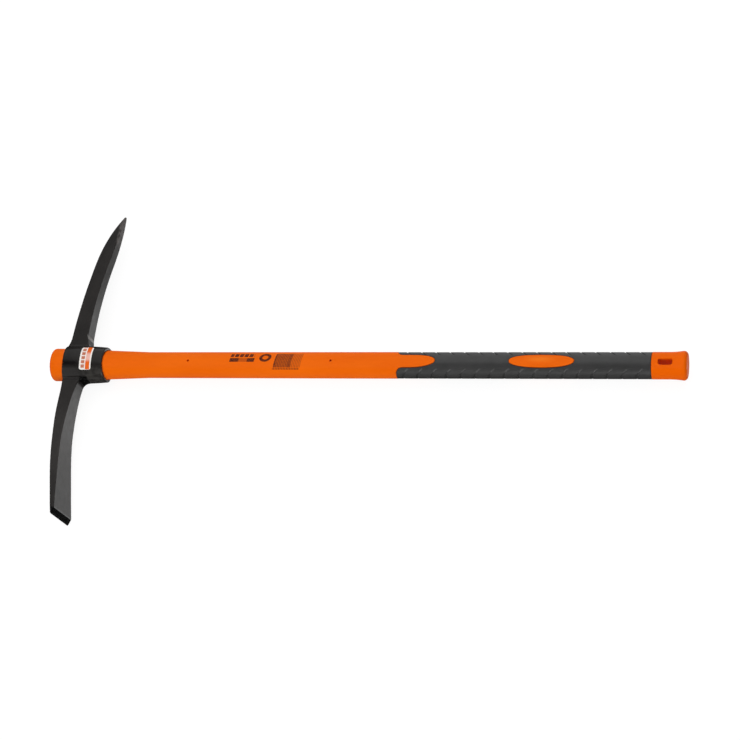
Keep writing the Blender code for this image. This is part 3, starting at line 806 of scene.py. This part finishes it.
# Finishes
class Finish:
    """A material whose nodes are added one by one."""

    def __init__(self, name, roughness, specular):
        self.made = bpy.data.materials.new(name)
        self.made.use_nodes = True
        self.nodes = self.made.node_tree.nodes
        self.links = self.made.node_tree.links
        self.shader = self.nodes["Principled BSDF"]
        self.shader.inputs["Roughness"].default_value = roughness
        self.shader.inputs["Specular IOR Level"].default_value = specular
        self.coordinates = self.node("TexCoord").outputs["Object"]

    def node(self, kind, **settings):
        made = self.nodes.new("ShaderNode" + kind)
        for key, value in settings.items():
            setattr(made, key, value)
        return made

    def feed(self, node, **inputs):
        """Set or link a node's sockets, by name or, after an underscore, by number."""
        for key, value in inputs.items():
            numbered = key[0] == "_"
            socket = node.inputs[int(key[1:]) if numbered else key.replace("_", " ")]
            if isinstance(value, bpy.types.NodeSocket):
                self.links.new(value, socket)
            else:
                socket.default_value = value

    def noise(self, scale, detail=4.0, stretch=(1, 1, 1)):
        mapping = self.node("Mapping")
        self.feed(mapping, Vector=self.coordinates, Scale=stretch)
        made = self.node("TexNoise")
        self.feed(made, Vector=mapping.outputs["Vector"], Scale=scale, Detail=detail)
        return made.outputs["Fac"]

    def mottled(self, factor, colours, low=0.3, high=0.7):
        """Run from one colour to another as the factor goes from low to high."""
        made = self.node("ValToRGB")
        self.links.new(factor, made.inputs["Fac"])
        for stop, place, colour in zip(made.color_ramp.elements, (low, high), colours):
            stop.position = place
            stop.color = (*colour, 1)
        return made.outputs["Color"]

    def level(self, factor, low, high, from_low=0.0, from_high=1.0):
        """Bring a value from one range to another."""
        made = self.node("MapRange")
        self.feed(made, Value=factor, From_Min=from_low, From_Max=from_high, To_Min=low, To_Max=high)
        return made.outputs["Result"]

    def math(self, operation, first, second=0.0):
        made = self.node("Math", operation=operation)
        self.feed(made, _0=first, _1=second)
        return made.outputs["Value"]

    def times(self, first, *others):
        for other in others:
            first = self.math("MULTIPLY", first, other)
        return first

    def place(self):
        """The surface point's x, y and z."""
        made = self.node("SeparateXYZ")
        self.links.new(self.coordinates, made.inputs["Vector"])
        return made.outputs

    def within(self, value, low, high, soft=0.0003):
        """1 between two bounds, with soft edges."""
        rise = self.node("MapRange", interpolation_type="SMOOTHSTEP")
        self.feed(rise, Value=value, From_Min=low - soft, From_Max=low + soft)
        fall = self.node("MapRange", interpolation_type="SMOOTHSTEP")
        self.feed(fall, Value=value, From_Min=high - soft, From_Max=high + soft, To_Min=1.0, To_Max=0.0)
        return self.times(rise.outputs["Result"], fall.outputs["Result"])

    def block(self, across, low, high, bottom, top, height):
        """1 inside a block of print."""
        return self.times(self.within(across, low, high), self.within(height, bottom, top))

    def stripes(self, value, pitch, share):
        """1 on the first share of each pitch along a value, 0 on the rest."""
        return self.math("LESS_THAN", self.math("FRACT", self.times(value, 1 / pitch)), share)

    def over(self, under, colour, share):
        """Lay a colour over another where the share says so."""
        made = self.node("Mix", data_type="RGBA")
        self.links.new(share, made.inputs["Factor"])
        self.links.new(under, made.inputs[6])
        made.inputs[7].default_value = (*colour, 1)
        return made.outputs[2]

    def bump(self, height, strength, distance, under=None):
        made = self.node("Bump")
        self.feed(made, Height=height, Strength=strength, Distance=distance)
        if under:
            self.links.new(under, made.inputs["Normal"])
        return made.outputs["Normal"]

    def set(self, **inputs):
        self.feed(self.shader, **inputs)

    def put_on(self, piece):
        piece.data.materials.clear()
        piece.data.materials.append(self.made)


def orange_plastic(name, colours, roughness, specular, printed=False):
    made = Finish(name, roughness, specular)
    colour = made.mottled(made.noise(30, detail=3, stretch=(0.3, 1, 1)), colours)
    made.set(Base_Color=handle_print(made, pad_highlight(made, colour)) if printed else colour)
    grain = made.noise(900, detail=2)
    made.set(Roughness=made.level(made.noise(60), roughness - 0.05, roughness + 0.07))
    made.set(Normal=made.bump(grain, strength=0.12, distance=0.0002))
    return made


def pad_highlight(made, ground):
    """Painted highlight: the crown of each pad is painted a little paler, for the gloss that the crown
    catches.
    """
    x, y = made.place()[:2]
    crown_highlight = made.times(made.within(x, *PAD_HIGHLIGHT_X), made.within(y, *PAD_HIGHLIGHT_Y))
    return made.over(ground, PAD_HIGHLIGHT_ORANGE, crown_highlight)


def handle_print(made, ground):
    """Plain dashes, a bar, a ring and stripes printed on the near face."""
    x, y, z = made.place()
    lean = made.math("SUBTRACT", x, made.times(y, PRINT_LEAN))
    dashes = made.times(made.stripes(lean, PRINT_DASH_PITCH, PRINT_DASH_SHARE),
                        made.block(lean, *PRINT_DASHES, y))
    faded = made.times(made.within(lean, *PRINT_BAR_FADED), PRINT_BAR_FADE)
    bar = made.times(made.block(lean, *PRINT_BAR, y), made.math("SUBTRACT", 1.0, faded))
    wave = made.math("SINE", made.times(lean, 2 * math.pi / PRINT_STRIPE_PITCH))
    stripe = made.level(wave, *PRINT_STRIPE_INK, -1.0, 1.0)
    filled = made.level(made.within(lean, *PRINT_STRIPES_FILLED), 0.0, PRINT_STRIPES_FILL)
    striped = made.times(made.math("ADD", stripe, filled), made.block(lean, *PRINT_STRIPES, y))
    thick = [made.times(made.block(lean, first, last, *PRINT_STRIPES[2:], y), inked)
             for first, last, inked in PRINT_THICK_STRIPES]
    ticks = made.times(made.level(wave, *PRINT_TICK_INK, -1.0, 1.0), made.block(lean, *PRINT_TICKS, y))
    across = made.math("DIVIDE", made.math("SUBTRACT", lean, PRINT_RING_X), PRINT_RING_HALF_LENGTH)
    along = made.math("DIVIDE", made.math("SUBTRACT", y, PRINT_RING_Y), PRINT_RING_HALF_HEIGHT)
    radius = made.math("ADD", made.math("POWER", made.math("ABSOLUTE", across), 2.0),
                       made.math("POWER", made.math("ABSOLUTE", along), 2.0))
    total = made.within(radius, *PRINT_RING_BAND)
    for share in (dashes, bar, striped, *thick, ticks):
        total = made.math("MAXIMUM", total, share)
    worn = made.level(made.noise(700, detail=3), 0.70, 1.0, from_low=0.3, from_high=0.6)
    return made.over(ground, PRINT_INK, made.times(total, made.within(z, PRINT_SIDE, 1.0), worn))


def forged_steel():
    made = Finish("blackened_forging", 0.40, 0.28)
    skin = made.mottled(made.noise(45, detail=8), FORGING_BLACK, low=0.25, high=0.75)
    x, y = made.place()[:2]
    blots = made.level(made.noise(150, detail=5), 0.2, 1.0, from_low=0.35, from_high=0.6)
    # Lay the places on the skin, with their painted light and shade
    for colour, lean, along, up, broken in FORGING_PLACES:
        leaning = made.math("ADD", x, made.times(y, lean))
        blotted = made.level(blots, 1 - broken, 1.0)
        share = made.times(made.within(leaning, *along), made.within(y, *up), blotted)
        skin = made.over(skin, colour, share)
    # Painted shade: the hollow between the eye and the chisel's inner side is painted near black
    hollow = made.times(made.within(x, *HOLLOW_X), made.within(y, *HOLLOW_Y))
    skin = made.over(skin, HOLLOW_SHADE, hollow)
    # Painted shade on the chisel's bevel, which is also made smoother
    ground = made.within(y, -1.0, CHISEL_BEVEL_LENGTH - CHISEL_REACH + BEVEL_RUN_OUT)
    made.set(Base_Color=made.over(skin, BEVEL_SHADE_BLACK, ground))
    polish = made.times(made.math("MAXIMUM", made.within(y, *EYE_Y), ground), EYE_POLISH)
    polish = made.math("MAXIMUM", polish, made.times(hollow, HOLLOW_POLISH))
    dull = made.times(made.within(y, *POINT_Y), POINT_DULLNESS)
    grain = made.math("ADD", made.level(made.noise(120, detail=6), 0.33, 0.48), dull)
    made.set(Roughness=made.math("SUBTRACT", grain, polish))
    pits = made.bump(made.noise(260, detail=6), strength=0.25, distance=0.0004)
    made.set(Normal=made.bump(made.noise(28), strength=0.3, distance=0.0012, under=pits))
    return made


def grip_rubber():
    made = Finish("grip_rubber", 0.34, 0.60)
    made.set(Base_Color=made.mottled(made.noise(70, detail=5), RUBBER_GREY))
    made.set(Normal=made.bump(made.noise(1400, detail=2), strength=0.35, distance=0.0002))
    return made


def label_film():
    """White film with an orange field, part of it pale, and a column of plain marks."""
    made = Finish("sticker_film", 0.4, 0.2)
    x, y = made.place()[:2]
    across = made.math("SUBTRACT", x, EYE_X + LABEL_START)
    white = made.mottled(made.noise(50), FILM_WHITE)
    pale = made.times(made.within(y, *LABEL_FIELD_PALE), LABEL_FIELD_PALENESS)
    field = made.times(made.block(across, *LABEL_FIELD, y), made.math("SUBTRACT", 1.0, pale))
    marks = made.level(made.stripes(y, LABEL_MARK_PITCH, LABEL_MARK_SHARE), *LABEL_MARK_INK)
    marks = made.times(marks, made.block(across, *LABEL_MARKS, y))
    made.set(Base_Color=made.over(made.over(white, FILM_ORANGE, field), FILM_MARK, marks))
    return made


def fibreglass():
    made = Finish("fibreglass_rod", 0.45, 0.5)
    strands = made.noise(400, stretch=(0.02, 1, 1))
    made.set(Base_Color=made.mottled(strands, ROD_STRAW))
    made.set(Normal=made.bump(strands, strength=0.3, distance=0.0002))
    return made


# Camera, floor and light
def make_camera():
    camera = bpy.data.objects.new("photo_camera", bpy.data.cameras.new("photo_camera"))
    bpy.context.scene.collection.objects.link(camera)
    turn = Matrix((CAMERA_RIGHT, CAMERA_UP, CAMERA_BACK)).transposed().to_4x4()
    camera.matrix_world = Matrix.Translation(CAMERA_PLACE) @ turn
    camera.data.sensor_width = CAMERA_SENSOR
    camera.data.lens = CAMERA_LENS
    camera.data.clip_end = CAMERA_FAR
    bpy.context.scene.camera = camera


def area_light(name, place, width, height, power):
    """Panel that faces the studio's middle and isn't mirrored in the gloss."""
    data = bpy.data.lights.new(name, "AREA")
    data.shape = "RECTANGLE"
    data.size = width
    data.size_y = height
    data.energy = power
    light = bpy.data.objects.new(name, data)
    bpy.context.scene.collection.objects.link(light)
    light.location = place
    light.rotation_euler = (Vector(STUDIO_MIDDLE) - Vector(place)).to_track_quat("-Z", "Y").to_euler()
    light.visible_glossy = False


def make_studio():
    """Pale floor with a white surround, soft panels for the colours and a sky of lights for the gloss."""
    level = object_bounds()[0][2] - FLOOR_DROP
    bpy.ops.object.select_all(action="DESELECT")
    bpy.ops.mesh.primitive_plane_add(size=FLOOR_SIZE, location=(*STUDIO_MIDDLE[:2], level))
    floor = added("studio_floor")
    bpy.ops.mesh.primitive_plane_add(size=FLOOR_SIZE, location=(*STUDIO_MIDDLE[:2], level - BOUNCE_DROP))
    bounce = added("studio_bounce")
    bpy.ops.mesh.primitive_uv_sphere_add(segments=48, ring_count=24, radius=SURROUND_RADIUS,
                                         location=(0, 0, 0))
    surround = added("studio_surround")
    for piece, glow in ((floor, FLOOR_GLOW), (bounce, BOUNCE_GLOW), (surround, SURROUND_GLOW)):
        paint = Finish(piece.name + "_paint", 0.9, 0.0)
        paint.set(Base_Color=paint.mottled(paint.noise(2), STUDIO_GREY))
        paint.set(Emission_Color=(1, 1, 1, 1), Emission_Strength=glow)
        paint.put_on(piece)
        piece.visible_glossy = False
        piece.visible_shadow = False
        piece.visible_diffuse = piece == bounce
        piece.visible_camera = piece != bounce
    world = bpy.data.worlds.new("studio")
    bpy.context.scene.world = world
    world.use_nodes = True
    world.cycles_visibility.diffuse = False
    world.cycles.sampling_method = "NONE"
    nodes = world.node_tree.nodes
    links = world.node_tree.links
    direction = nodes.new("ShaderNodeTexCoord").outputs["Generated"]

    def joined(operation, first, second):
        made = nodes.new("ShaderNodeMath")
        made.operation = operation
        for socket, value in zip(made.inputs, (first, second)):
            if isinstance(value, bpy.types.NodeSocket):
                links.new(value, socket)
            else:
                socket.default_value = value
        return made.outputs["Value"]

    glow = SKY_BASE
    for brightness, places in SKY_LIGHTS:
        for side, start, full in places:
            facing = nodes.new("ShaderNodeVectorMath")
            facing.operation = "DOT_PRODUCT"
            links.new(direction, facing.inputs[0])
            facing.inputs[1].default_value = Vector(side).normalized()
            share = nodes.new("ShaderNodeMapRange")
            share.interpolation_type = "SMOOTHSTEP"
            links.new(facing.outputs["Value"], share.inputs["Value"])
            share.inputs["From Min"].default_value = start
            share.inputs["From Max"].default_value = full
            brightness = joined("MULTIPLY", share.outputs["Result"], brightness)
        glow = joined("ADD", brightness, glow)
    nodes["Background"].inputs["Color"].default_value = (1, 1, 1, 1)
    links.new(glow, nodes["Background"].inputs["Strength"])
    for name, place, width, height, power in PANELS:
        area_light(name, place, width, height, power)
    bpy.context.scene.view_settings.view_transform = "Standard"


body = make_body()
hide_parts("handle_body")
orange_plastic("handle_orange", HANDLE_ORANGE, 0.42, 0.06, printed=True).put_on(body)
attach(body, "handle")

grip = make_grip()
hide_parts("grip_sleeve")
grip_rubber().put_on(grip)
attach(grip, "handle")

cap = make_cap()
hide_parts("end_cap")
orange_plastic("cap_orange", CAP_ORANGE, 0.30, 0.04).put_on(cap)
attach(cap, "handle")

head = make_head()
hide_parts("pick_head")
forged_steel().put_on(head)
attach(head, "head")

label = make_label()
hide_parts("head_label")
label_film().put_on(label)
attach(label, "head")

fibreglass().put_on(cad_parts["handle_core"])

make_camera()
make_studio()
